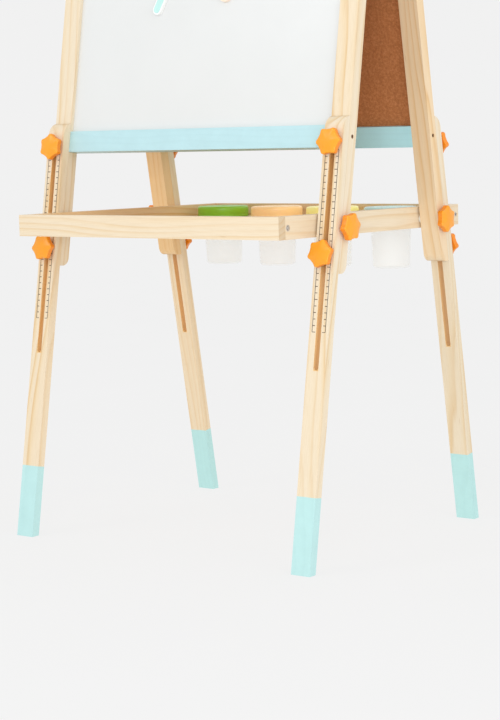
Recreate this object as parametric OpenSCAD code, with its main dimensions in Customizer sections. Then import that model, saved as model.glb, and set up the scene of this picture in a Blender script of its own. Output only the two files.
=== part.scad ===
// Double-sided children's easel: two leaning frames hinged at the top, four
// extending legs held by star knobs, and a tray with four lidded paint cups
// that braces the frames apart. Millimetres, +Z up, origin on the floor in the
// middle of the four feet, front at -Y.

/* [Frame] */
// Overall width over the stiles
frame_w = 610; // [560:5:660]
// Width of every stile and leg, seen from the front
stile_w = 35; // [32:1:38]
// Thickness of the stiles and cross rails
stile_t = 20; // [20:1:24]
// Height of the cross rails along the frame
rail_h = 35; // [30:1:40]
// Lean of each frame from upright, in degrees
lean = 9.5; // [9:0.1:10]
// Distance from the middle to each foot's outer bottom edge
foot_y = 256; // [250:1:262]
// Bottom end of the stiles, measured up the frame from the floor
stile_bottom = 464; // [455:1:470]
// Top end of the stiles, measured up the frame from the floor
stile_top = 1322; // [1315:1:1326]
// Bottom edge of the lower cross rail, measured up the frame
rail_s = 658.5; // [658:0.5:664]

/* [Boards] */
// Thickness of both boards
board_t = 4.5; // [3:0.5:5]
// How far the boards sit behind the frames' outer faces
board_recess = 6.5; // [5:0.5:8]
// Depth of the grooves that hold the boards
groove = 4; // [3:0.5:5]

/* [Legs] */
// Thickness of the extending legs
leg_t = 16; // [14:1:18]
// Top end of the legs, measured up the frame
leg_top = 708.5; // [704:0.5:712]
// Width of the slot in each leg
slot_w = 9; // [8:0.5:10]
// Lower end of the slot, measured up the frame
slot_low = 313.5; // [305:0.5:320]
// Height of the lower leg bolt, measured up the frame
bolt_low = 491.5; // [488:0.5:495]
// Height of the upper leg bolt, measured up the frame
bolt_high = 663.5; // [660:0.5:666]
// How much lower the rear frame's bolts sit
rear_drop = 5.5; // [0:0.5:6]

/* [Tray] */
// Width over the tray's side rails
tray_w = 532; // [528:1:534]
// Depth from the front of the front rail to the back of the rear rail
tray_d = 525; // [515:1:526]
// Height of the tray's rails
tray_h = 35; // [32:1:36]
// Thickness of the tray's rails
tray_t = 17; // [16:1:18]
// Height of the tray's top edge above the floor
tray_z = 545; // [543:0.5:546]
// Thickness of the tray's floor panel
panel_t = 6; // [5:0.5:6]
// Height of the floor panel's top above the floor
panel_z = 524; // [523:0.5:524]

/* [Cups] */
// Distance between the centres of neighbouring cups
cup_pitch = 121; // [110:1:124]
// Distance of the row of cups behind the middle
cup_y = 179; // [178:0.5:182]
// Radius of a cup just under its rim
cup_r = 35.5; // [34:0.5:36.5]
// Radius of a cup at its base
cup_base_r = 32; // [28:0.5:32.5]
// Height of a cup's base above the floor
cup_z = 438.5; // [436:0.5:442]
// Wall thickness of a cup
cup_wall = 1.6; // [1.2:0.1:2]
// Radius of a lid
lid_r = 46; // [45:0.5:46]
// Height of the top of the lids above the floor
lid_z = 543.5; // [541:0.5:545]
// Radius of the brush hole in each lid
brush_r = 6; // [4:0.5:8]

/* [Hardware] */
// Radius of the bolts that the knobs turn on
bolt_r = 3; // [2.5:0.1:3.2]
// Radius over a knob's lobes
knob_r = 22; // [20:0.5:22]
// Height of a knob with its collar
knob_h = 17; // [15:0.5:18]
// Radius of the cam fittings at the tray's corners
cam_r = 5; // [4.5:0.5:5.5]
// Radius of the hinge knuckles
knuckle_r = 3.5; // [3:0.1:3.8]

/* [Hidden] */
$fn = 64;
e = 0.01;
gap = 0.3;
stile_x = frame_w / 2 - stile_w / 2;
in_x = frame_w / 2 - stile_w;
d_out = leg_t;
d_in = leg_t + stile_t;
top_s = stile_top - rail_h;
board_d = d_out + board_recess;
screw_s = rail_s + rail_h / 2;
screw_d = leg_t + stile_t / 2;
bolt_hole_r = bolt_r + 0.05;
// Where the tray's bolts cross the stiles
tray_s = 537;
tray_by = -foot_y + tray_s * sin(lean) + screw_d * cos(lean);
tray_bz = tray_s * cos(lean) - screw_d * sin(lean);
tx = tray_w / 2;
ty = tray_d / 2;
// The hinge axis lies in the middle, 4 mm off both frames' inner faces
hinge_d = d_in + 4;
hinge_z = (foot_y * cos(lean) - hinge_d) / sin(lean);
hinge_s = hinge_z * cos(lean) + foot_y * sin(lean);
hinge_x = 180;
PINE = [0.93, 0.84, 0.66];
MINT = [0.75, 0.92, 0.91];
STEEL = [0.72, 0.73, 0.75];
ORANGE = [0.98, 0.66, 0.2];

// A frame's own axes: x across, y inwards from the legs' outer face, z up the frame
module front() translate([0, -foot_y, 0]) rotate([-lean, 0, 0]) children();
module rear() mirror([0, 1, 0]) front() children();
module bar(x0, x1, d0, d1, s0, s1) translate([x0, d0, s0]) cube([x1 - x0, d1 - d0, s1 - s0]);
module along_d(x, s, d0, d1, r) translate([x, d0, s]) rotate([-90, 0, 0]) cylinder(r = r, h = d1 - d0);
module along_x(d, s, x0, x1, r) translate([x0, d, s]) rotate([0, 90, 0]) cylinder(r = r, h = x1 - x0);
// What a rounded corner of radius r takes off, where the corner is at (d, s)
module corner_cut(d, s, r, sd, ss) {
    translate([-stile_w, 0, 0]) difference() {
        bar(0, 2 * stile_w, min(d, d + sd * r) - (sd < 0 ? 0 : 1), max(d, d + sd * r) + (sd < 0 ? 1 : 0),
            min(s, s + ss * r) - (ss < 0 ? 0 : 1), max(s, s + ss * r) + (ss < 0 ? 1 : 0));
        along_x(d + sd * r, s + ss * r, -1, 2 * stile_w + 1, r);
    }
}

// side is -1 for left and 1 for right
module stile(side, drop) {
    difference() {
        bar(side * stile_x - stile_w / 2, side * stile_x + stile_w / 2, d_out, d_in, stile_bottom, stile_top);
        translate([side * stile_x, 0, 0]) {
            corner_cut(d_in, stile_bottom, 15, -1, 1);
            corner_cut(d_out, stile_top, 10, 1, -1);
        }
        // groove for the board
        bar(side < 0 ? -in_x - groove : in_x - e, side < 0 ? -in_x + e : in_x + groove,
            board_d, board_d + board_t, rail_s + rail_h - groove, top_s + groove);
        // leg bolts, tray bolt and rail screws
        for (s = [bolt_low, bolt_high]) along_d(side * stile_x, s - drop, d_out - 1, d_in - 2, bolt_r);
        along_x(screw_d, tray_s, side < 0 ? -frame_w / 2 - 1 : in_x - 1, side < 0 ? -in_x + 1 : frame_w / 2 + 1, bolt_hole_r);
        for (s = [screw_s, top_s + rail_h / 2]) {
            along_x(screw_d, s, side < 0 ? -frame_w / 2 - 1 : in_x - 1, side < 0 ? -in_x + 1 : frame_w / 2 + 1, 2.5);
            along_x(screw_d, s, side < 0 ? -frame_w / 2 - 1 : frame_w / 2 - 4, side < 0 ? -frame_w / 2 + 4 : frame_w / 2 + 1, 3.3);
        }
    }
}
// A cross rail; board_up is 1 when the board rises out of its top edge
module cross_rail(s0, board_up, hinged) {
    difference() {
        bar(-in_x, in_x, d_out, d_in, s0, s0 + rail_h);
        bar(-in_x - 1, in_x + 1, board_d, board_d + board_t,
            board_up == 1 ? s0 + rail_h - groove : s0 - e, board_up == 1 ? s0 + rail_h + e : s0 + groove);
        for (m = [-1, 1]) {
            along_x(screw_d, s0 + rail_h / 2, m < 0 ? -in_x - 1 : in_x - 32, m < 0 ? -in_x + 32 : in_x + 1, 2.5);
            if (hinged) for (k = [-1, 0, 1])
                along_d(m * hinge_x + k * 17, leaf_screw_s(k), d_in - 12, d_in + 1, 1.5);
        }
    }
}
module board() bar(-in_x - groove, in_x + groove, board_d, board_d + board_t, rail_s + rail_h - groove, top_s + groove);
module slot(side) {
    bar(side * stile_x - slot_w / 2, side * stile_x + slot_w / 2, -1, leg_t + 1, slot_low + slot_w / 2, bolt_high);
    for (s = [slot_low + slot_w / 2, bolt_high]) along_d(side * stile_x, s, -1, leg_t + 1, slot_w / 2);
}
module leg(side) {
    difference() {
        bar(side * stile_x - stile_w / 2, side * stile_x + stile_w / 2, 0, leg_t - gap, -5, leg_top);
        translate([side * stile_x, 0, 0]) corner_cut(0, leg_top, 24, 1, -1);
        // level foot
        rotate([lean, 0, 0]) translate([side * stile_x - stile_w, -50, -60]) cube([2 * stile_w, 100, 60]);
        slot(side);
    }
}
// Hanger bolts: wood thread in the stile, free end out through the leg's slot
module leg_bolts(drop) {
    for (x = [-stile_x, stile_x], s = [bolt_low, bolt_high])
        along_d(x, s - drop, -knob_base - 12, d_in - 2, bolt_r);
}
knob_base = 2 * gap + 1.2;
module leg_washers(drop) {
    for (x = [-stile_x, stile_x], s = [bolt_low - drop, bolt_high - drop]) difference() {
        along_d(x, s, -gap - 1.2, -gap, 9);
        along_d(x, s, -gap - 2, 1, bolt_r + 0.05);
    }
}
module rail_screws() {
    for (m = [-1, 1], s = [screw_s, top_s + rail_h / 2]) difference() {
        union() {
            along_x(screw_d, s, m < 0 ? -frame_w / 2 + 2 : in_x - 32, m < 0 ? -in_x + 32 : frame_w / 2 - 2, 2.5);
            along_x(screw_d, s, m < 0 ? -frame_w / 2 + 1 : frame_w / 2 - 4, m < 0 ? -frame_w / 2 + 4 : frame_w / 2 - 1, 3.3);
        }
        // hexagon socket
        translate([m * (frame_w / 2 - 2.6), screw_d, s]) rotate([0, m * 90, 0]) cylinder(r = 2, h = 8, $fn = 6);
    }
}
// A star knob on +z: a collar at z = 0, a domed six-pointed head with hollow
// flanks, and a blind hole for its bolt
collar_h = 4;
module star_knob() {
    difference() {
        intersection() {
            union() {
                cylinder(r = 10, h = collar_h + 1);
                translate([0, 0, collar_h]) difference() {
                    cylinder(r = knob_r, h = knob_h - collar_h);
                    for (a = [0:60:300]) rotate([0, 0, a + 30]) translate([knob_r - 4 + 14, 0, -1]) cylinder(r = 14, h = knob_h);
                }
            }
            translate([0, 0, knob_h - 80]) sphere(r = 80);
        }
        translate([0, 0, -1]) cylinder(r = bolt_hole_r, h = 13.6);
    }
}
module leg_knob(side, s) translate([side * stile_x, -knob_base, s]) rotate([90, 30, 0]) star_knob();
module tray_knob(side) translate([side * (frame_w / 2 + gap), screw_d, tray_s]) rotate([0, side * 90, 0]) star_knob();

// The front rail covers the ends of the side rails and is held by cams
module tray_front() {
    difference() {
        translate([-tx, -ty, tray_z - tray_h]) cube([tray_w, tray_t, tray_h]);
        translate([-tx + tray_t - groove, -ty + tray_t - groove, panel_z - panel_t]) cube([tray_w - 2 * tray_t + 2 * groove, groove + 1, panel_t]);
        for (m = [-1, 1]) translate([m * (tx - tray_t / 2), -ty + tray_t + 1, tray_z - tray_h / 2]) rotate([90, 0, 0]) cylinder(r = 3, h = 12);
    }
}
// The rear rail sits between the side rails, screwed through them
module tray_rear() {
    difference() {
        translate([-tx + tray_t, ty - tray_t, tray_z - tray_h]) cube([tray_w - 2 * tray_t, tray_t, tray_h]);
        translate([-tx + tray_t - 1, ty - tray_t - 1, panel_z - panel_t]) cube([tray_w - 2 * tray_t + 2, groove + 1, panel_t]);
        for (m = [-1, 1]) translate([m * (tx - tray_t + 1), ty - tray_t / 2, tray_z - tray_h / 2]) rotate([0, m * -90, 0]) cylinder(r = 2.5, h = 31);
    }
}
cam_y = ty - tray_t - 6.7;
module tray_side_rail(side) {
    difference() {
        translate([side < 0 ? -tx : tx - tray_t, -ty + tray_t, tray_z - tray_h]) cube([tray_t, tray_d - tray_t, tray_h]);
        translate([side < 0 ? -tx + tray_t - groove : tx - tray_t - 1, -ty + tray_t - 1, panel_z - panel_t]) cube([groove + 1, tray_d - 2 * tray_t + groove + 1, panel_t]);
        // cam pocket and its pin's hole
        translate([side * (tx - 12), -cam_y, tray_z - tray_h / 2]) rotate([0, side * 90, 0]) cylinder(r = cam_r, h = 13);
        translate([side * (tx - tray_t / 2), -cam_y, tray_z - tray_h / 2]) rotate([90, 0, 0]) cylinder(r = 3, h = 7.7);
        // screw into the rear rail
        translate([side * (tx - tray_t - 1), ty - tray_t / 2, tray_z - tray_h / 2]) rotate([0, side * 90, 0]) cylinder(r = 2.5, h = tray_t + 2);
        translate([side * (tx - 4), ty - tray_t / 2, tray_z - tray_h / 2]) rotate([0, side * 90, 0]) cylinder(r = 3.5, h = 5);
        // bolts
        for (f = [-1, 1]) translate([side * (tx - 12), f * -tray_by, tray_bz]) rotate([0, side * 90, 0]) cylinder(r = f < 0 ? bolt_r : bolt_r + 0.25, h = 13);
    }
}
module tray_floor() {
    difference() {
        translate([-tx + tray_t - groove, -ty + tray_t - groove, panel_z - panel_t]) cube([tray_w - 2 * tray_t + 2 * groove, tray_d - 2 * tray_t + 2 * groove, panel_t]);
        for (i = [0:3]) translate([(i - 1.5) * cup_pitch, cup_y, panel_z - panel_t - 1]) cylinder(r = cup_r + 0.6, h = panel_t + 2, $fn = 96);
    }
}
module cams() {
    for (m = [-1, 1]) translate([m * (tx - 12), -cam_y, tray_z - tray_h / 2]) rotate([0, m * 90, 0]) difference() {
        cylinder(r = cam_r, h = 11.6);
        translate([-0.9, -3.4, 9.5]) cube([1.8, 6.8, 5]);
        translate([-3.4, -0.9, 9.5]) cube([6.8, 1.8, 5]);
        // the pin's head sits in the cam
        translate([0, 0, 12 - tray_t / 2]) rotate([90, 0, 0]) cylinder(r = 3, h = cam_r + 2);
    }
}
module cam_pins() {
    for (m = [-1, 1]) translate([m * (tx - tray_t / 2), -cam_y - 1.5, tray_z - tray_h / 2]) rotate([90, 0, 0]) cylinder(r = 3, h = 16.2);
}
module tray_screws() {
    for (m = [-1, 1]) translate([m * (tx - 0.6), ty - tray_t / 2, tray_z - tray_h / 2]) rotate([0, m * -90, 0]) difference() {
        union() {
            cylinder(r = 3.5, h = 3.4);
            cylinder(r = 2.5, h = 46);
        }
        translate([0, 0, -1]) cylinder(r = 2, h = 3, $fn = 6);
    }
}
// Hanger bolts of the tray; the rear pair ends just short of the tray's rails
module tray_bolts(x0) {
    for (m = [-1, 1]) along_x(screw_d, tray_s, m < 0 ? -frame_w / 2 - gap - 12 : x0, m < 0 ? -x0 : frame_w / 2 + gap + 12, bolt_r);
}
module spacers() {
    for (m = [-1, 1]) difference() {
        along_x(screw_d, tray_s, m < 0 ? -in_x : tx + gap, m < 0 ? -tx - gap : in_x, 8);
        along_x(screw_d, tray_s, m < 0 ? -in_x - 1 : tx - 1, m < 0 ? -tx + 1 : in_x + 1, bolt_r + 0.05);
    }
}

// Butt hinges: leaf on the frame's inner face, knuckles round the pin
hinge_half = 25;
knuckle_n = 5;
knuckle_l = 2 * hinge_half / knuckle_n;
leaf_h = 25;
function leaf_screw_s(k) = hinge_s - (k == 0 ? 19 : 12);
module leaves(odd) {
    for (m = [-1, 1]) difference() {
        union() {
            bar(m * hinge_x - hinge_half, m * hinge_x + hinge_half, d_in, d_in + 1.5, hinge_s - leaf_h, hinge_s - knuckle_r - 0.6);
            for (i = [odd:2:knuckle_n - 1]) {
                x0 = m * hinge_x - hinge_half + i * knuckle_l + 0.15;
                along_x(hinge_d, hinge_s, x0, x0 + knuckle_l - 0.3, knuckle_r);
                bar(x0, x0 + knuckle_l - 0.3, d_in, d_in + 1.5, hinge_s - knuckle_r - 1, hinge_s);
            }
        }
        along_x(hinge_d, hinge_s, m * hinge_x - hinge_half - 1, m * hinge_x + hinge_half + 1, odd == 0 ? 1.75 : 1.8);
        for (k = [-1, 0, 1]) {
            along_d(m * hinge_x + k * 17, leaf_screw_s(k), d_in - 1, d_in + 3, 1.75);
            translate([m * hinge_x + k * 17, d_in + 0.2, leaf_screw_s(k)]) rotate([-90, 0, 0]) cylinder(r1 = 1.75, r2 = 3.2, h = 1.31);
        }
    }
}
module hinge_pin() for (m = [-1, 1]) along_x(hinge_d, hinge_s, m * hinge_x - hinge_half, m * hinge_x + hinge_half, 1.75);
module leaf_screws() {
    for (m = [-1, 1], k = [-1, 0, 1]) difference() {
        union() {
            along_d(m * hinge_x + k * 17, leaf_screw_s(k), d_in - 12, d_in + 0.6, 1.5);
            translate([m * hinge_x + k * 17, d_in + 0.25, leaf_screw_s(k)]) rotate([-90, 0, 0]) cylinder(r1 = 1.5, r2 = 2.9, h = 1.2);
        }
        translate([m * hinge_x + k * 17 - 0.4, d_in + 1, leaf_screw_s(k) - 1.8]) cube([0.8, 2, 3.6]);
        translate([m * hinge_x + k * 17 - 1.8, d_in + 1, leaf_screw_s(k) - 0.4]) cube([3.6, 2, 0.8]);
    }
}

// Paint cups hang by their rims in the floor panel
rim_z = panel_z + 0.2;
function cup_x(i) = (i - 2.5) * cup_pitch;
module cup(i) {
    translate([cup_x(i), cup_y, 0]) difference() {
        union() {
            translate([0, 0, cup_z]) cylinder(r1 = cup_base_r, r2 = cup_r, h = rim_z - cup_z + 3, $fn = 96);
            translate([0, 0, rim_z]) cylinder(r = 43, h = 3, $fn = 96);
            translate([0, 0, rim_z]) cylinder(r = cup_r, h = 12, $fn = 96);
        }
        translate([0, 0, cup_z + cup_wall + 0.4]) cylinder(r1 = cup_base_r - cup_wall, r2 = cup_r - cup_wall, h = rim_z - cup_z - cup_wall, $fn = 96);
        translate([0, 0, rim_z - 1]) cylinder(r = cup_r - cup_wall, h = 20, $fn = 96);
    }
}
module lid(i) {
    z0 = rim_z + 0.4;
    translate([cup_x(i), cup_y, 0]) difference() {
        union() {
            translate([0, 0, z0]) cylinder(r = lid_r, h = lid_z - z0 - 4, $fn = 96);
            translate([0, 0, lid_z - 4]) cylinder(r = lid_r - 4, h = 4, $fn = 96);
            translate([0, 0, lid_z - 4]) rotate_extrude($fn = 96) translate([lid_r - 4, 0]) intersection() {
                circle(r = 4);
                square(10);
            }
        }
        translate([0, 0, z0 - 1]) cylinder(r = lid_r - 2, h = lid_z - z0 - 1.5, $fn = 96);
        translate([0, 0, lid_z - 10]) cylinder(r = brush_r, h = 20);
    }
}

// Board magnets, standing on the whiteboard's face
module on_board(x, s, a) translate([x, board_d, s]) rotate([0, a, 0]) children();
module magnet_bar_shape() {
    on_board(-86, 924, 24) {
        translate([-9, -6, -33]) cube([18, 6, 66]);
        for (s = [-33, 33]) translate([0, 0, s]) rotate([90, 0, 0]) cylinder(r = 9, h = 6);
    }
}
module magnet_pill_shape() {
    on_board(38, 934, -8) {
        translate([-12, -6, -24]) cube([24, 6, 48]);
        for (s = [-24, 24]) translate([0, 0, s]) rotate([90, 0, 0]) cylinder(r = 12, h = 6);
    }
}

color(PINE) front() stile(-1, 0);  // front_stile_left
color(PINE) front() stile(1, 0);  // front_stile_right
color(MINT) front() cross_rail(rail_s, 1, false);  // front_bottom_rail
color(MINT) front() cross_rail(top_s, -1, true);  // front_top_rail
color([0.95, 0.95, 0.95]) front() board();  // whiteboard
color(PINE) rear() stile(-1, rear_drop);  // rear_stile_left
color(PINE) rear() stile(1, rear_drop);  // rear_stile_right
color(MINT) rear() cross_rail(rail_s, 1, false);  // rear_bottom_rail
color(MINT) rear() cross_rail(top_s, -1, true);  // rear_top_rail
color([0.62, 0.38, 0.2]) rear() board();  // chalkboard
color(PINE) front() leg(-1);  // front_leg_left
color(PINE) front() leg(1);  // front_leg_right
color(PINE) rear() leg(-1);  // rear_leg_left
color(PINE) rear() leg(1);  // rear_leg_right
color(STEEL) front() leg_bolts(0);  // front_leg_bolts
color(STEEL) rear() leg_bolts(rear_drop);  // rear_leg_bolts
color(STEEL) front() leg_washers(0);  // front_leg_washers
color(STEEL) rear() leg_washers(rear_drop);  // rear_leg_washers
color(STEEL) front() rail_screws();  // front_rail_screws
color(STEEL) rear() rail_screws();  // rear_rail_screws
color(ORANGE) front() leg_knob(-1, bolt_high);  // knob_front_left_upper
color(ORANGE) front() leg_knob(-1, bolt_low);  // knob_front_left_lower
color(ORANGE) front() leg_knob(1, bolt_high);  // knob_front_right_upper
color(ORANGE) front() leg_knob(1, bolt_low);  // knob_front_right_lower
color(ORANGE) rear() leg_knob(-1, bolt_high - rear_drop);  // knob_rear_left_upper
color(ORANGE) rear() leg_knob(-1, bolt_low - rear_drop);  // knob_rear_left_lower
color(ORANGE) rear() leg_knob(1, bolt_high - rear_drop);  // knob_rear_right_upper
color(ORANGE) rear() leg_knob(1, bolt_low - rear_drop);  // knob_rear_right_lower
color(ORANGE) front() tray_knob(-1);  // tray_knob_front_left
color(ORANGE) front() tray_knob(1);  // tray_knob_front_right
color(ORANGE) rear() tray_knob(-1);  // tray_knob_rear_left
color(ORANGE) rear() tray_knob(1);  // tray_knob_rear_right
color(PINE) tray_front();  // tray_front_rail
color(PINE) tray_rear();  // tray_rear_rail
color(PINE) tray_side_rail(-1);  // tray_left_rail
color(PINE) tray_side_rail(1);  // tray_right_rail
color([0.9, 0.82, 0.66]) tray_floor();  // tray_panel
color(STEEL) cams();  // tray_cams
color(STEEL) cam_pins();  // tray_cam_pins
color(STEEL) tray_screws();  // tray_rear_screws
color(STEEL) front() tray_bolts(tx - 12);  // tray_front_bolts
color(STEEL) rear() tray_bolts(tx + 0.5);  // tray_rear_bolts
color([0.9, 0.9, 0.88]) front() spacers();  // tray_front_spacers
color([0.9, 0.9, 0.88]) rear() spacers();  // tray_rear_spacers
color(STEEL) front() leaves(0);  // hinge_leaves_front
color(STEEL) rear() leaves(1);  // hinge_leaves_rear
color(STEEL) front() hinge_pin();  // hinge_pins
color(STEEL) front() leaf_screws();  // hinge_screws_front
color(STEEL) rear() leaf_screws();  // hinge_screws_rear
color([0.93, 0.94, 0.92, 0.5]) cup(1);  // paint_cup_1
color([0.93, 0.94, 0.92, 0.5]) cup(2);  // paint_cup_2
color([0.93, 0.94, 0.92, 0.5]) cup(3);  // paint_cup_3
color([0.93, 0.94, 0.92, 0.5]) cup(4);  // paint_cup_4
color([0.53, 0.7, 0.24]) lid(1);  // cup_lid_1
color([0.98, 0.7, 0.4]) lid(2);  // cup_lid_2
color([0.87, 0.83, 0.45]) lid(3);  // cup_lid_3
color([0.78, 0.92, 0.88]) lid(4);  // cup_lid_4
color(MINT) front() magnet_bar_shape();  // magnet_bar
color(ORANGE) front() magnet_pill_shape();  // magnet_pill
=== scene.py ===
"""Looks for the kids easel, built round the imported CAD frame. Metres, Z up, whiteboard side at -Y."""
import math

import bmesh
import bpy
from mathutils import Matrix, Vector


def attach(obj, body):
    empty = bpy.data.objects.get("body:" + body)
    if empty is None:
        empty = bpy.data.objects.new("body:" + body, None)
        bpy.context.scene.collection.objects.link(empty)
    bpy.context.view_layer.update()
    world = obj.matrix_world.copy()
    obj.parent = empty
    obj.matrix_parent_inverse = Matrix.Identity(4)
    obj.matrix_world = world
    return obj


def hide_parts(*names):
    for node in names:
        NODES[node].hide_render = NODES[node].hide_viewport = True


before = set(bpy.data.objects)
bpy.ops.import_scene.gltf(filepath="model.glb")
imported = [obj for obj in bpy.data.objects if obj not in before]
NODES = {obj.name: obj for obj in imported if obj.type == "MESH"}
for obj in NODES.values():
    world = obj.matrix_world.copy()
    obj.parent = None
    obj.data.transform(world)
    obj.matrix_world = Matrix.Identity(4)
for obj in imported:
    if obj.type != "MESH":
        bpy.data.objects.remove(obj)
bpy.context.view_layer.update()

LEAN = math.radians(9.5)
SN, CS = math.sin(LEAN), math.cos(LEAN)
FOOT_Y = 256.0


def fp(x, d, s, rear=False):
    """A point on a frame: across, inwards from the legs' outer face, up the frame. Millimetres in, metres out."""
    y = -FOOT_Y + s * SN + d * CS
    z = s * CS - d * SN
    return Vector((x, -y if rear else y, z)) / 1000


def out_dir(rear=False):
    return Vector((0, CS if rear else -CS, SN))


def up_dir(rear=False):
    return Vector((0, -SN if rear else SN, CS))


# ---------------------------------------------------------------- materials


class Graph:
    """A material with a Principled shader, and short calls to add nodes."""

    def __init__(self, name):
        self.m = bpy.data.materials.new(name)
        self.m.use_nodes = True
        self.t = self.m.node_tree
        self.t.nodes.clear()
        self.out = self.t.nodes.new("ShaderNodeOutputMaterial")
        self.b = self.t.nodes.new("ShaderNodeBsdfPrincipled")
        self.t.links.new(self.b.outputs[0], self.out.inputs[0])

    def link(self, a, b):
        self.t.links.new(a, b)

    def put(self, socket, value):
        if hasattr(value, "is_output") or isinstance(value, bpy.types.NodeSocket):
            self.link(value, socket)
        else:
            socket.default_value = value

    def coords(self, rot=(0, 0, 0), loc=(0, 0, 0), scale=(1, 1, 1), tilt=(0, 0, 0)):
        tc = self.t.nodes.new("ShaderNodeTexCoord")
        a = self.t.nodes.new("ShaderNodeMapping")
        a.inputs["Rotation"].default_value = rot
        self.link(tc.outputs["Object"], a.inputs["Vector"])
        b = self.t.nodes.new("ShaderNodeMapping")
        b.inputs["Location"].default_value = loc
        b.inputs["Scale"].default_value = scale
        b.inputs["Rotation"].default_value = tilt
        self.link(a.outputs[0], b.inputs["Vector"])
        return b.outputs[0], a.outputs[0]

    def scaled(self, vec, scale, loc=(0, 0, 0)):
        b = self.t.nodes.new("ShaderNodeMapping")
        b.inputs["Location"].default_value = loc
        b.inputs["Scale"].default_value = scale
        self.link(vec, b.inputs["Vector"])
        return b.outputs[0]

    def noise(self, vec, scale, detail=3, rough=0.55, dist=0.0):
        n = self.t.nodes.new("ShaderNodeTexNoise")
        n.inputs["Scale"].default_value = scale
        n.inputs["Detail"].default_value = detail
        n.inputs["Roughness"].default_value = rough
        n.inputs["Distortion"].default_value = dist
        self.link(vec, n.inputs["Vector"])
        return n.outputs[0]

    def ramp(self, fac, stops, kind="LINEAR"):
        r = self.t.nodes.new("ShaderNodeValToRGB")
        r.color_ramp.interpolation = kind
        while len(r.color_ramp.elements) < len(stops):
            r.color_ramp.elements.new(0.5)
        for e, (p, c) in zip(r.color_ramp.elements, stops):
            e.position = p
            e.color = (*c, 1) if len(c) == 3 else c
        self.link(fac, r.inputs[0])
        return r.outputs[0]

    def mix(self, fac, a, b, mode="MIX"):
        n = self.t.nodes.new("ShaderNodeMix")
        n.data_type = "RGBA"
        n.blend_type = mode
        self.put(n.inputs[0], fac)
        for sock, v in ((n.inputs[6], a), (n.inputs[7], b)):
            self.put(sock, v if hasattr(v, "links") else (*v, 1) if len(v) == 3 else v)
        return n.outputs[2]

    def math(self, op, a, b=0.0, c=None, clamp=False):
        n = self.t.nodes.new("ShaderNodeMath")
        n.operation = op
        n.use_clamp = clamp
        self.put(n.inputs[0], a)
        self.put(n.inputs[1], b)
        if c is not None:
            self.put(n.inputs[2], c)
        return n.outputs[0]

    def xyz(self, vec):
        n = self.t.nodes.new("ShaderNodeSeparateXYZ")
        self.link(vec, n.inputs[0])
        return n.outputs

    def bump(self, height, strength, distance):
        n = self.t.nodes.new("ShaderNodeBump")
        n.inputs["Strength"].default_value = strength
        n.inputs["Distance"].default_value = distance
        self.link(height, n.inputs["Height"])
        self.link(n.outputs[0], self.b.inputs["Normal"])
        return n


MINT = (0.495, 0.735, 0.785)
TURN = {"front": (LEAN, 0, 0), "rear": (-LEAN, 0, 0), "x": (0, -math.pi / 2, 0), "y": (math.pi / 2, 0, 0)}


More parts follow.
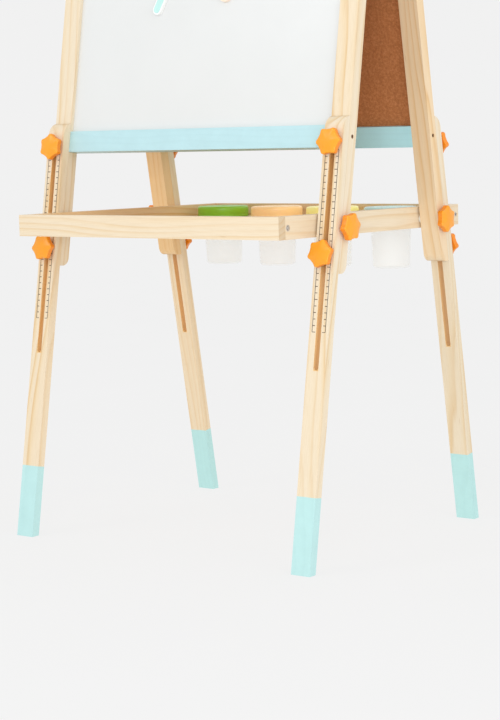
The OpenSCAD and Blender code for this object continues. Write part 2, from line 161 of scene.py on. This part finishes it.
def pine(name, run, seed, tone=1.0, dip=False, pith=None, paint=False, ply=False, painted_shade_and_heartwood=0.0, slot_x=None, slot_top=0.669, coat_by=(1, 1, 1), grain=1.0):
    """Clear-lacquered pine with growth rings round a pith outside the piece; run is the direction of its length."""
    g = Graph(name)
    ox, oy = pith if pith else (0.055 + 0.021 * (seed % 5), 0.035 + 0.017 * (seed % 4))
    tilt = (math.radians(0.9 + 0.5 * (seed % 4)), math.radians(-1.4 + 0.7 * (seed % 5)), 0.3 * seed)
    vec, plain = g.coords(rot=TURN[run], loc=(ox, oy, seed * 1.37), tilt=tilt)
    slow = g.scaled(vec, (1, 1, 0.10))
    wob = g.noise(slow, 9.0, 2, 0.5)
    fine = g.noise(g.scaled(vec, (1, 1, 0.03)), 60, 2, 0.5)
    w = g.t.nodes.new("ShaderNodeTexWave")
    w.wave_type = "RINGS"
    w.rings_direction = "Z"
    w.wave_profile = "SAW"
    w.inputs["Scale"].default_value = 27 if not ply else 60
    w.inputs["Distortion"].default_value = 13.0
    w.inputs["Detail"].default_value = 2.0
    w.inputs["Detail Scale"].default_value = 0.62
    w.inputs["Detail Roughness"].default_value = 0.45
    g.link(g.scaled(vec, (1, 1, 0.13)), w.inputs["Vector"])
    rings = w.outputs[1]
    pale = (0.812 * tone, 0.708 * tone, 0.545 * tone)
    mid = (0.800 * tone, 0.655 * tone, 0.440 * tone)
    late = (0.715 * tone, 0.500 * tone, 0.250 * tone)
    base = g.ramp(rings, [(0.0, pale), (0.30, pale), (0.62, mid), (0.86, late), (1.0, pale)])
    strength = g.ramp(g.noise(slow, 22, 2), [(0.32, (0.14 * grain,) * 3), (0.68, (0.82 * grain,) * 3)])
    base = g.mix(strength, pale, base)
    drift = g.ramp(wob, [(0.3, (0.95, 0.92, 0.86)), (0.5, (1, 1, 1)), (0.72, (1.0, 0.94, 0.85))])
    base = g.mix(0.8, base, drift, "MULTIPLY")
    fib = g.noise(g.scaled(vec, (1, 1, 0.02)), 900, 2, 0.6)
    fibc = g.ramp(fib, [(0.35, (0.86, 0.80, 0.70)), (0.55, (1, 1, 1))])
    base = g.mix(0.30, base, fibc, "MULTIPLY")
    # end grain drinks the lacquer and reads darker
    tcn = g.t.nodes.new("ShaderNodeTexCoord")
    nm = g.t.nodes.new("ShaderNodeMapping")
    nm.vector_type = "VECTOR"
    nm.inputs["Rotation"].default_value = TURN[run]
    g.link(tcn.outputs["Normal"], nm.inputs["Vector"])
    endm = g.ramp(g.math("ABSOLUTE", g.xyz(nm.outputs[0])[2]), [(0.80, (0, 0, 0)), (0.93, (1, 1, 1))])
    base = g.mix(g.math("MULTIPLY", endm, 0.0 if paint else 0.85), base, g.mix(1.0, base, (0.80, 0.74, 0.66), "MULTIPLY"))
    # the odd resin fleck, drawn out along the grain
    v = g.t.nodes.new("ShaderNodeTexVoronoi")
    v.inputs["Scale"].default_value = 90
    g.link(g.scaled(vec, (1, 1, 0.09)), v.inputs["Vector"])
    fleck = g.ramp(v.outputs["Distance"], [(0.03, (0.62, 0.42, 0.25)), (0.075, (1, 1, 1))])
    base = g.mix(0.35, base, fleck, "MULTIPLY")
    # painted shade: pieces seen mostly in shade get a darker, more orange tint standing in for light bounced off the
    # wood round them, along with some darker heartwood
    if painted_shade_and_heartwood:
        base = g.mix(painted_shade_and_heartwood, base, g.mix(1.0, base, (1.06, 0.84, 0.57), "MULTIPLY"))
    # painted shade: the walls of the slot, and the strip of stile seen through it, are darkened and made more orange
    # where the recess shades them
    if slot_x is not None:
        at = g.xyz(plain)
        up_it = g.math("ADD", at[2], FOOT_Y / 1000 * SN)
        slot_painted_shade = g.math("LESS_THAN", g.math("ABSOLUTE", g.math("SUBTRACT", at[0], slot_x)), 0.0048)
        slot_painted_shade = g.math("MULTIPLY", slot_painted_shade, g.math("LESS_THAN", up_it, slot_top))
        slot_painted_shade = g.math("MULTIPLY", slot_painted_shade, g.math("GREATER_THAN", up_it, 0.3125))
        reach = FOOT_Y / 1000 * CS
        in_d = g.math("ADD", at[1], reach) if run == "front" else g.math("SUBTRACT", reach, at[1])
        slot_painted_shade = g.math("MULTIPLY", slot_painted_shade, g.math("LESS_THAN", in_d, 0.0166))
        base = g.mix(slot_painted_shade, base, g.mix(1.0, base, (1.0, 0.78, 0.48), "MULTIPLY"))
    rough = g.ramp(fine, [(0.3, (0.44, 0.44, 0.44)), (0.7, (0.56, 0.56, 0.56))])
    height = g.math("ADD", g.math("MULTIPLY", rings, -0.5), g.math("MULTIPLY", fib, 0.5))
    if dip or paint:
        z = g.xyz(plain)[2]
        # how far up the leg, from the floor, with the dip's faint waver
        foot = FOOT_Y / 1000 * SN
        s = g.math("ADD", z, foot)
        edge = g.math("ADD", s, g.math("MULTIPLY", g.noise(vec, 70, 1), 0.0012))
        mask = 1.0 if paint else g.math("LESS_THAN", edge, 0.1206)
        mottle = g.noise(vec, 40, 3, 0.6)
        mint = tuple(c * k for c, k in zip(MINT, coat_by))
        coat = g.ramp(mottle, [(0.3, tuple(c * 0.965 for c in mint)), (0.7, tuple(min(1, c * 1.02) for c in mint))])
        ghost = g.mix(0.10, coat, g.mix(1.0, mint, g.ramp(rings, [(0.5, (1, 1, 1)), (0.93, (0.72, 0.78, 0.78)), (1.0, (1, 1, 1))]), "MULTIPLY"))
        base = g.mix(mask, base, ghost)
        rough = g.mix(mask, rough, (0.42, 0.42, 0.42))
        height = g.math("MULTIPLY", height, 0.55 if paint else g.math("SUBTRACT", 1.0, g.math("MULTIPLY", mask, 0.5)))
    g.link(base, g.b.inputs["Base Color"])
    g.link(rough, g.b.inputs["Roughness"])
    g.b.inputs["Coat Weight"].default_value = 0.12
    g.b.inputs["Coat Roughness"].default_value = 0.35
    g.b.inputs["Specular IOR Level"].default_value = 0.35
    g.bump(height, 0.5, 0.00022)
    return g.m


def plastic(name, colour, rough=0.38, grain=900, strength=0.12, sss=0.0, coat=0.0, painted_glow=0.0):
    """Moulded plastic with a fine spark-eroded texture and a trace of flow marks in the colour."""
    g = Graph(name)
    vec, _ = g.coords()
    flow = g.noise(g.scaled(vec, (1, 1, 0.4)), 55, 3, 0.5)
    lo, hi = tuple(c * 0.955 for c in colour), tuple(min(1.0, c * 1.03) for c in colour)
    g.link(g.ramp(flow, [(0.3, lo), (0.7, hi)]), g.b.inputs["Base Color"])
    tex = g.noise(vec, grain, 2, 0.6)
    r = g.ramp(g.noise(vec, 120, 2), [(0.3, (rough - 0.05,) * 3), (0.7, (rough + 0.06,) * 3)])
    g.link(r, g.b.inputs["Roughness"])
    if sss:
        g.b.inputs["Subsurface Weight"].default_value = sss
        g.b.inputs["Subsurface Radius"].default_value = (0.004, 0.002, 0.001)
        g.b.inputs["Subsurface Scale"].default_value = 1.0
    if coat:
        g.b.inputs["Coat Weight"].default_value = coat
        g.b.inputs["Coat Roughness"].default_value = 0.2
    if painted_glow:
        # painted light: the plastic emits light in its own colour, standing in for light let through a thin wall
        g.b.inputs["Emission Color"].default_value = (*colour, 1)
        g.b.inputs["Emission Strength"].default_value = painted_glow
    g.bump(tex, strength, 0.0002)
    return g.m


def frosted(name):
    """Milky translucent polypropylene: a thin veil of white with what is behind showing through."""
    g = Graph(name)
    vec, _ = g.coords()
    cloud = g.noise(vec, 45, 3, 0.55)
    g.link(g.ramp(cloud, [(0.3, (0.960, 0.970, 0.950)), (0.7, (0.985, 0.995, 0.980))]), g.b.inputs["Base Color"])
    g.link(g.ramp(g.noise(vec, 130, 2), [(0.3, (0.38,) * 3), (0.7, (0.46,) * 3)]), g.b.inputs["Roughness"])
    g.b.inputs["Alpha"].default_value = 0.15
    # painted light: faint emission stands in for light scattered on through the thin walls
    g.b.inputs["Emission Color"].default_value = (0.86, 1.0, 0.98, 1)
    g.b.inputs["Emission Strength"].default_value = 0.035
    g.b.inputs["Specular IOR Level"].default_value = 0.4
    g.bump(g.noise(vec, 60, 2), 0.06, 0.0002)
    return g.m


def steel(name, colour=(0.62, 0.62, 0.63), rough=0.32):
    g = Graph(name)
    vec, _ = g.coords()
    brush = g.noise(g.scaled(vec, (1, 1, 1)), 800, 3, 0.6)
    g.link(g.ramp(g.noise(vec, 150, 3), [(0.3, tuple(c * 0.9 for c in colour)), (0.7, colour)]), g.b.inputs["Base Color"])
    g.b.inputs["Metallic"].default_value = 1.0
    g.link(g.ramp(brush, [(0.3, (rough - 0.06,) * 3), (0.7, (rough + 0.1,) * 3)]), g.b.inputs["Roughness"])
    g.bump(brush, 0.15, 0.0001)
    return g.m


def board(name, run, face, inner_first=False):
    """A drawing board: one coated face outwards, bare hardboard inwards."""
    g = Graph(name)
    vec, plain = g.coords(rot=TURN[run])
    y = g.xyz(plain)[1]
    # inwards from the outer face of the legs, in metres
    off = FOOT_Y / 1000 * CS
    d = g.math("ADD", y, off) if run == "front" else g.math("SUBTRACT", off, y)
    mask = g.math("GREATER_THAN", d, 0.0255)
    felt = g.noise(vec, 260, 6, 0.72)
    chips = g.noise(vec, 900, 3, 0.7)
    cloudy = g.noise(vec, 14, 4, 0.6)
    brown = g.ramp(felt, [(0.30, (0.36, 0.130, 0.040)), (0.5, (0.50, 0.190, 0.062)), (0.72, (0.64, 0.280, 0.110))])
    brown = g.mix(0.35, brown, g.ramp(cloudy, [(0.3, (0.82, 0.80, 0.78)), (0.7, (1.06, 1.05, 1.02))]), "MULTIPLY")
    brown = g.mix(0.25, brown, g.ramp(chips, [(0.40, (0.6, 0.55, 0.5)), (0.6, (1, 1, 1))]), "MULTIPLY")
    if face == "white":
        coat = g.ramp(g.noise(vec, 8, 3), [(0.3, (0.735, 0.75, 0.745)), (0.7, (0.75, 0.765, 0.76))])
        coat_rough = g.ramp(g.noise(vec, 30, 4, 0.6), [(0.3, (0.13,) * 3), (0.7, (0.24,) * 3)])
        height = g.math("MULTIPLY", g.noise(vec, 140, 2, 0.5), 0.12)
    else:
        slate = g.ramp(g.noise(vec, 220, 4, 0.7), [(0.3, (0.018, 0.021, 0.021)), (0.7, (0.034, 0.038, 0.037))])
        dust = g.ramp(g.noise(g.scaled(vec, (1.0, 1.0, 0.45)), 5.5, 6, 0.62), [(0.46, (0, 0, 0)), (0.78, (0.30, 0.30, 0.30))])
        coat = g.mix(dust, slate, (0.20, 0.215, 0.21))
        coat_rough = g.ramp(felt, [(0.3, (0.78,) * 3), (0.7, (0.9,) * 3)])
        height = g.math("MULTIPLY", g.noise(vec, 1300, 2, 0.6), 0.35)
    g.link(g.mix(mask, coat, brown), g.b.inputs["Base Color"])
    g.link(g.mix(mask, coat_rough, (0.82, 0.82, 0.82)), g.b.inputs["Roughness"])
    hm = g.mix(mask, (0, 0, 0), (1, 1, 1))
    g.bump(g.math("ADD", g.math("MULTIPLY", felt, hm), height), 0.35, 0.0005)
    return g.m


def assign(obj, mat):
    obj.data.materials.clear()
    obj.data.materials.append(mat)
    for p in obj.data.polygons:
        p.material_index = 0


def node_mat(node, mat):
    assign(NODES[node], mat)


def soften(node, width_mm=1.0, seg=2, angle=35, smooth=True):
    """Eases a CAD node's edges with modifiers; its mesh is left alone."""
    o = NODES[node]
    dec = o.modifiers.new("planar", "DECIMATE")
    dec.decimate_type = "DISSOLVE"
    dec.angle_limit = math.radians(0.6)
    bev = o.modifiers.new("ease", "BEVEL")
    bev.width = width_mm / 1000
    bev.segments = seg
    bev.limit_method = "ANGLE"
    bev.angle_limit = math.radians(angle)
    bev.use_clamp_overlap = True
    bev.harden_normals = True


# ---------------------------------------------------------------- wood

# painted shade, with some darker heartwood: how far each stile and leg is darkened towards orange for the shade it sits
# in
PAINTED_SHADE_AND_HEARTWOOD = {("front", "left"): (0.0, 0.12), ("rear", "left"): (1.0, 0.15), ("rear", "right"): (0.45, 0.0)}
seed = 1
for fr in ("front", "rear"):
    for side in ("left", "right"):
        sx = -1 if side == "left" else 1
        node_mat(f"{fr}_stile_{side}", pine(f"pine_{fr}_stile_{side}", fr, seed, painted_shade_and_heartwood=PAINTED_SHADE_AND_HEARTWOOD.get((fr, side), (0, 0))[0], slot_x=sx * 0.2875, slot_top=0.70))
        seed += 1
        node_mat(f"{fr}_leg_{side}", pine(f"pine_{fr}_leg_{side}", fr, seed + 3, dip=True, grain=1.2 if (fr, side) == ("front", "left") else 0.95, painted_shade_and_heartwood=PAINTED_SHADE_AND_HEARTWOOD.get((fr, side), (0, 0))[1], slot_x=sx * 0.2875, coat_by=(0.955, 1.015, 0.93) if fr == "rear" else (0.985, 1.02, 0.945)))
        seed += 1
        soften(f"{fr}_stile_{side}", 1.2)
        soften(f"{fr}_leg_{side}", 2.0, 3)
    for rail in ("bottom", "top"):
        # painted light: the rear rails' mint is made lighter and bluer, standing in for light bounced onto them
        node_mat(f"{fr}_{rail}_rail", pine(f"mint_{fr}_{rail}_rail", "x", seed, paint=True, coat_by=(0.95, 1.12, 1.15) if fr == "rear" else (1, 1, 1)))
        soften(f"{fr}_{rail}_rail", 1.0)
        seed += 1
# the tray's rails and panel get the same painted shade, strongest on the shaded left and rear rails and the panel, with
# some darker heartwood
for rail, run in (("front", "x"), ("rear", "x"), ("left", "y"), ("right", "y")):
    node_mat(f"tray_{rail}_rail", pine(f"pine_tray_{rail}", run, seed, painted_shade_and_heartwood={"left": 0.75, "rear": 0.5}.get(rail, 0.12)))
    soften(f"tray_{rail}_rail", 1.2)
    seed += 1
node_mat("tray_panel", pine("ply_tray", "x", 5, tone=0.97, ply=True, pith=(0.3, 0.9), painted_shade_and_heartwood=0.8))
node_mat("whiteboard", board("board_white", "front", "white"))
node_mat("chalkboard", board("board_chalk", "rear", "chalk"))

# ---------------------------------------------------------------- metal

zinc = steel("zinc", (0.66, 0.66, 0.67), 0.3)
black = steel("brown_oxide", (0.30, 0.165, 0.095), 0.5)
for n in ("front_leg_bolts", "rear_leg_bolts", "front_leg_washers", "rear_leg_washers", "tray_front_bolts", "tray_rear_bolts",
          "hinge_leaves_front", "hinge_leaves_rear", "hinge_pins", "hinge_screws_front", "hinge_screws_rear", "tray_cam_pins", "tray_rear_screws"):
    node_mat(n, zinc)
for n in ("front_rail_screws", "rear_rail_screws"):
    node_mat(n, black)
node_mat("tray_cams", steel("cam_zinc", (0.70, 0.68, 0.64), 0.38))
nylon = plastic("nylon_natural", (0.86, 0.86, 0.83), 0.45)
for n in ("tray_front_spacers", "tray_rear_spacers"):
    node_mat(n, nylon)


# ---------------------------------------------------------------- mesh helpers


def new_object(name, verts, faces, mat, smooth=True, matrix=None):
    me = bpy.data.meshes.new(name)
    me.from_pydata([tuple(v) for v in verts], [], faces)
    me.validate()
    if matrix is not None:
        me.transform(matrix)
    bm = bmesh.new()
    bm.from_mesh(me)
    bmesh.ops.recalc_face_normals(bm, faces=bm.faces)
    bm.to_mesh(me)
    bm.free()
    for p in me.polygons:
        p.use_smooth = smooth
    o = bpy.data.objects.new(name, me)
    bpy.context.scene.collection.objects.link(o)
    me.materials.append(mat)
    return o


def lathe(name, profile, mat, centre, seg=96):
    """A closed body of revolution about Z from (r, z) points in millimetres, listed round the section; ends on the axis have r 0."""
    verts, faces, rows = [], [], []
    for r, z in profile:
        if r < 1e-6:
            rows.append([len(verts)])
            verts.append((centre[0], centre[1], z / 1000))
        else:
            rows.append(list(range(len(verts), len(verts) + seg)))
            for k in range(seg):
                a = 2 * math.pi * k / seg
                verts.append((centre[0] + r / 1000 * math.cos(a), centre[1] + r / 1000 * math.sin(a), z / 1000))
    closed = len(rows[0]) > 1
    pairs = list(zip(rows, rows[1:])) + ([(rows[-1], rows[0])] if closed else [])
    for a, b in pairs:
        for k in range(seg):
            j = (k + 1) % seg
            if len(a) == 1 and len(b) == 1:
                continue
            if len(a) == 1:
                faces.append((a[0], b[k], b[j]))
            elif len(b) == 1:
                faces.append((a[k], a[j], b[0]))
            else:
                faces.append((a[k], a[j], b[j], b[k]))
    return new_object(name, verts, faces, mat)


def arc(cx, cz, r, a0, a1, n=6):
    return [(cx + r * math.cos(math.radians(a0 + (a1 - a0) * i / n)), cz + r * math.sin(math.radians(a0 + (a1 - a0) * i / n))) for i in range(n + 1)]


# ---------------------------------------------------------------- knobs


KNOB_R, KNOB_H, COLLAR = 22.0, 17.0, 4.0


def lobe_radius(th):
    """Six blunt points with hollow flanks between them."""
    c = math.cos(6 * th)
    return 19.78 + 1.8 * c + 0.40 * math.cos(12 * th)


def knob_mesh(name, mat, matrix):
    """A six-pointed moulded star knob on a collar, its base at z 0 and its slightly domed top towards +z."""
    seg, bore, depth, fil = 144, 3.05, 12.6, 1.9
    side = 14.0
    rings = [("abs", bore, depth), ("abs", bore, 0.4), ("abs", bore + 0.4, 0.0), ("abs", 9.0, 0.0), ("abs", 9.7, 0.3), ("abs", 10.0, 1.0),
             ("abs", 10.2, COLLAR - 0.9), ("abs", 10.6, COLLAR - 0.25), ("abs", 11.3, COLLAR), ("lobe", 3.4, COLLAR), ("lobe", 1.5, COLLAR)]
    for a in (25, 50, 70, 90):
        rings.append(("lobe", 1.3 * (1 - math.sin(math.radians(a))), COLLAR + 1.3 * (1 - math.cos(math.radians(a)))))
    rings.append(("lobe", 0.0, 8.0))
    for a in (0, 15, 30, 45, 60, 75, 90):
        rings.append(("lobe", fil * (1 - math.cos(math.radians(a))), side - fil + fil * math.sin(math.radians(a)) * 0.96))
    top0 = side - fil + fil * 0.96
    for t in (0.9, 0.8, 0.68, 0.55, 0.42, 0.3, 0.18):
        rings.append(("dome", t, top0 + (KNOB_H - 0.6 - top0) * (1 - t ** 2.2)))
    verts, faces, rows = [], [], []
    for kind, v, z in rings:
        row = []
        for i in range(seg):
            th = 2 * math.pi * i / seg
            if kind == "abs":
                r = v
            elif kind == "lobe":
                r = lobe_radius(th) - v
            else:
                r = v * ((lobe_radius(th) - fil) * v ** 0.6 + 18.0 * (1 - v ** 0.6))
            row.append(len(verts))
            verts.append((r / 1000 * math.cos(th), r / 1000 * math.sin(th), z / 1000))
        rows.append(row)
    cap = len(verts)
    verts.append((0, 0, (KNOB_H - 0.6) / 1000))
    plug = len(verts)
    verts.append((0, 0, depth / 1000))
    for a, b in zip(rows, rows[1:]):
        for i in range(seg):
            j = (i + 1) % seg
            faces.append((a[i], a[j], b[j], b[i]))
    for i in range(seg):
        j = (i + 1) % seg
        faces.append((rows[-1][i], rows[-1][j], cap))
        faces.append((rows[0][j], rows[0][i], plug))
    o = new_object(name, verts, faces, mat, matrix=matrix)
    # painted shade: the flanks get a darker, deeper orange copy of the plastic, standing in for the shade on them and
    # the light they bounce onto each other
    o.data.materials.append(orange_painted_shade)
    first = next(k for k, r in enumerate(rings) if r[0] == "lobe" and r[2] > 10)
    for i, p in enumerate(o.data.polygons):
        if i < first * seg:
            p.material_index = 1
    return o


orange = plastic("orange_moulded", (0.945, 0.36, 0.010), 0.34, grain=700, strength=0.10, sss=0.04, coat=0.12)
# a shaded copy of the orange plastic, painted darker for the knobs' flanks
orange_painted_shade = plastic("orange_moulded_painted_shade", (0.90, 0.270, 0.008), 0.38, grain=700, strength=0.10, sss=0.04)


def knob_at(name, node, body, base, axis, up, turn):
    z = axis.normalized()
    y = (up - z * up.dot(z)).normalized()
    x = y.cross(z)
    m = Matrix((x, y, z)).transposed().to_4x4()
    m = Matrix.Translation(base) @ m @ Matrix.Rotation(math.radians(turn), 4, "Z")
    o = knob_mesh(name, orange, m)
    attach(o, body)
    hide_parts(node)
    return o


LEG_X, TRAY_S, TRAY_D = 287.5, 537.0, 26.0
turns = {("front", "right", "upper"): 5, ("front", "right", "lower"): 16, ("front", "left", "upper"): 30, ("front", "left", "lower"): 6}
for fr in ("front", "rear"):
    rear = fr == "rear"
    for side, sx in (("left", -1), ("right", 1)):
        for level, s in (("upper", 663.5), ("lower", 491.5)):
            n = f"knob_{fr}_{side}_{level}"
            knob_at("star_" + n, n, n + "_body", fp(sx * LEG_X, -1.8, s - (5.5 if rear else 0), rear), out_dir(rear), up_dir(rear), turns.get((fr, side, level), 13))
        n = f"tray_knob_{fr}_{side}"
        knob_at("star_" + n, n, n + "_body", fp(sx * 305.3, TRAY_D, TRAY_S, rear), Vector((sx, 0, 0)), up_dir(rear), 17)

# ---------------------------------------------------------------- cups and lids

cup_mat = frosted("polypropylene_frosted")
lid_cols = [(0.29, 0.62, 0.032), (0.985, 0.64, 0.29), (0.92, 0.83, 0.28), (0.62, 0.88, 0.85)]
# painted light: how much light each lid emits, standing in for light let through its thin walls
lid_painted_glow = [0.0, 0.19, 0.26, 0.06]
CUP_Y, RIM = 179.0, 524.2
for i in range(4):
    cx = (i - 1.5) * 121.0
    zb = 438.5
    prof = [(0, zb + 0.8), (24, zb + 0.8), (26, zb)]
    prof += [(26.4, zb)] + arc(27.2, zb + 5.0, 5.0, -90, -3, 7)
    prof += [(35.5, RIM - 1.0), (35.8, RIM - 0.2)]
    prof += [(42.4, RIM), (43.0, RIM + 0.6), (43.0, RIM + 2.4), (42.4, RIM + 3.0), (36.1, RIM + 3.0), (35.5, RIM + 3.6), (35.5, RIM + 11.4), (35.0, RIM + 12.0),
             (34.4, RIM + 12.0), (33.9, RIM + 11.4), (33.9, RIM - 1.0)]
    prof += arc(26.4, zb + 6.9, 4.6, -3, -90, 7)
    prof += [(0, zb + 2.4)]
    o = lathe(f"cup_{i+1}", prof, cup_mat, (cx / 1000, CUP_Y / 1000))
    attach(o, f"cup_{i+1}_body")
    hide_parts(f"paint_cup_{i+1}")
    z0, zt, R = RIM + 0.4, 543.5, 46.0
    prof = [(6.6, zt - 2.5), (6.0, zt - 2.1), (6.0, zt - 1.6), (6.6, zt - 1.1), (9.5, zt - 1.1), (10.4, zt - 0.4), (11.4, zt), (R - 9, zt), (R - 7.2, zt - 0.15), (R - 6.2, zt - 0.7), (R - 5.0, zt - 0.7)]
    prof = prof[:-3] + arc(R - 4, zt - 4, 4, 90, 0, 7)
    prof += [(R, z0 + 4.4), (R - 0.25, z0 + 4.0), (R - 0.25, z0 + 3.6), (R, z0 + 3.2), (R, z0 + 0.5), (R - 0.5, z0), (R - 1.5, z0), (R - 2.0, z0 + 0.5), (R - 2.0, zt - 5.5)]
    prof += arc(R - 5.0, zt - 5.5, 3.0, 0, 90, 5)
    lid = lathe(f"lid_{i+1}", prof, plastic(f"lid_plastic_{i+1}", lid_cols[i], 0.33, grain=600, strength=0.08, sss=0.1, painted_glow=lid_painted_glow[i]), (cx / 1000, CUP_Y / 1000))
    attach(lid, f"lid_{i+1}_body")
    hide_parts(f"cup_lid_{i+1}")

# ---------------------------------------------------------------- printed rules on the legs

ink = Graph("rule_ink")
iv, _ = ink.coords()
ink.link(ink.ramp(ink.noise(iv, 700, 3), [(0.35, (0.13, 0.075, 0.045)), (0.6, (0.06, 0.035, 0.022))]), ink.b.inputs["Base Color"])
ink.b.inputs["Roughness"].default_value = 0.6


def rule(fr, side, sx):
    """Centimetre rules printed either side of the slot, 0.06 mm thick."""
    rear = fr == "rear"
    verts, faces = [], []

    def box(x0, x1, s0, s1):
        base = len(verts)
        for d in (-0.06, 0.04):
            for x, s in ((x0, s0), (x1, s0), (x1, s1), (x0, s1)):
                verts.append(fp(sx * LEG_X + x, d, s, rear))
        faces.extend([tuple(base + k for k in f) for f in ((0, 1, 2, 3), (7, 6, 5, 4), (0, 4, 5, 1), (1, 5, 6, 2), (2, 6, 7, 3), (3, 7, 4, 0))])

    for m in (-1, 1):
        lo, hi = 372.0, 652.0
        x = m * 12.3
        box(x - 0.5, x + 0.5, lo, hi)
        box(min(m * 6.4, x), max(m * 6.4, x), lo - 0.45, lo + 0.45)
        n = 0
        s = lo + 10
        while s < hi + 0.1:
            n += 1
            reach = 5.6 if n % 5 == 0 else 4.4
            box(min(x, x - m * reach), max(x, x - m * reach), s - 0.58, s + 0.58)
            s += 10
    o = new_object(f"rule_{fr}_{side}", verts, faces, ink.m, smooth=False)
    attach(o, f"{fr}_leg_{side}_body")
    return o


for fr in ("front", "rear"):
    for side, sx in (("left", -1), ("right", 1)):
        rule(fr, side, sx)

# ---------------------------------------------------------------- magnets

white_p = plastic("magnet_white", (0.90, 0.91, 0.90), 0.35)
mint_p = plastic("magnet_mint", (0.52, 0.83, 0.79), 0.33, coat=0.2)
yellow_p = plastic("magnet_yellow", (0.98, 0.55, 0.09), 0.33, coat=0.2)
peach_p = plastic("magnet_rim", (0.95, 0.80, 0.66), 0.35)


def slab(name, cx, cs, tilt, half, r, d0, d1, mat, body, ease=0.8):
    """A round-ended slab on the board's face, with its outer edge eased."""
    seg = 28
    def outline(shrink):
        pts = []
        for sgn in (1, -1):
            for k in range(seg + 1):
                a = math.pi * k / seg + (0 if sgn > 0 else math.pi)
                pts.append(((r - shrink) * math.cos(a), sgn * half + (r - shrink) * math.sin(a)))
        return pts
    rows, verts = [], []
    t = math.radians(tilt)
    for shrink, d in ((0, d0), (0, d1 + ease), (ease * 0.3, d1 + ease * 0.3), (ease, d1)):
        row = []
        for u, v in outline(shrink):
            x = u * math.cos(t) + v * math.sin(t)
            s = -u * math.sin(t) + v * math.cos(t)
            row.append(len(verts))
            verts.append(fp(cx + x, d, cs + s))
        rows.append(row)
    n = len(rows[0])
    faces = [(a[i], a[(i + 1) % n], b[(i + 1) % n], b[i]) for a, b in zip(rows, rows[1:]) for i in range(n)]
    faces += [tuple(reversed(rows[0])), tuple(rows[-1])]
    o = new_object(name, verts, faces, mat, smooth=False)
    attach(o, body)
    return o


BOARD_D = 22.5
a = slab("magnet_bar_border", -86, 924, 24, 33, 9, BOARD_D, BOARD_D - 5.2, white_p, "magnet_bar_body")
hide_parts("magnet_bar")
b = slab("magnet_bar_face", -86, 924, 24, 33, 6.2, BOARD_D - 4.6, BOARD_D - 6.0, mint_p, "magnet_bar_body", 0.5)
a = slab("magnet_pill_border", 38, 934, -8, 24, 12, BOARD_D, BOARD_D - 5.2, peach_p, "magnet_pill_body")
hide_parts("magnet_pill")
b = slab("magnet_pill_face", 38, 934, -8, 24, 9.0, BOARD_D - 4.6, BOARD_D - 6.0, yellow_p, "magnet_pill_body", 0.5)

# ---------------------------------------------------------------- floor, light, camera

fg = Graph("studio_floor")
fv, _ = fg.coords()
fg.link(fg.ramp(fg.noise(fv, 3, 2), [(0.3, (0.118, 0.118, 0.118)), (0.7, (0.122, 0.122, 0.122))]), fg.b.inputs["Base Color"])
fg.b.inputs["Roughness"].default_value = 0.9
fg.b.inputs["Specular IOR Level"].default_value = 0.0
fg.b.inputs["Emission Color"].default_value = (1, 1, 1, 1)
fg.b.inputs["Emission Strength"].default_value = 0.775

sweep, faces = [], []
prof = [(-9.0, 0.0), (4.0, 0.0)] + [(4.0 + 3.0 * math.sin(math.radians(t)), 3.0 - 3.0 * math.cos(math.radians(t))) for t in range(6, 91, 6)] + [(7.0, 9.0)]
view_dir = Vector((-0.5713, 0.8207, 0))
side_dir = Vector((0.8207, 0.5713, 0))
for u, z in prof:
    for w in (-14, 14):
        p = view_dir * u + side_dir * w
        sweep.append((p.x, p.y, z - 0.0004))
for i in range(len(prof) - 1):
    faces.append((2 * i, 2 * i + 1, 2 * i + 3, 2 * i + 2))
floor = new_object("studio_sweep", sweep, faces, fg.m)

world = bpy.data.worlds.new("studio")
bpy.context.scene.world = world
world.use_nodes = True
bg = world.node_tree.nodes["Background"]
bg.inputs[0].default_value = (1.0, 1.0, 1.0, 1)
bg.inputs[1].default_value = 0.80


def area(name, loc, target, size, power, colour=(1, 1, 1)):
    d = bpy.data.lights.new(name, "AREA")
    d.shape = "RECTANGLE"
    d.size, d.size_y = size
    d.energy = power
    d.color = colour
    o = bpy.data.objects.new(name, d)
    bpy.context.scene.collection.objects.link(o)
    o.location = loc
    o.rotation_euler = (Vector(target) - Vector(loc)).to_track_quat("-Z", "Y").to_euler()
    return o


area("key", (-1.6, -3.4, 3.0), (0, 0, 0.6), (1.5, 1.3), 22)
area("fill", (3.6, -1.4, 2.0), (0, 0, 0.7), (2.4, 2.4), 30)
area("front", (2.3, -3.5, 0.9), (0, 0, 0.6), (1.4, 1.0), 40)

A, PITCH, ROLL = math.radians(34.84), math.radians(6.73), math.radians(-1.10)
fw = Vector((-math.sin(A) * math.cos(PITCH), math.cos(A) * math.cos(PITCH), -math.sin(PITCH)))
right = Vector((math.cos(A), math.sin(A), 0))
up = right.cross(fw)
rr = math.cos(ROLL) * right + math.sin(ROLL) * up
uu = -math.sin(ROLL) * right + math.cos(ROLL) * up
cam_data = bpy.data.cameras.new("camera")
cam_data.sensor_width = 36
cam_data.lens = 91.75
cam_data.shift_x = -75 / 720
cam_data.clip_end = 200
cam = bpy.data.objects.new("camera", cam_data)
bpy.context.scene.collection.objects.link(cam)
m = Matrix((rr, uu, -fw)).transposed().to_4x4()
m.translation = (1.88612, -2.4756, 0.65284)
cam.matrix_world = m
bpy.context.scene.camera = cam
bpy.context.scene.view_settings.view_transform = "Standard"
bpy.context.scene.view_settings.look = "None"
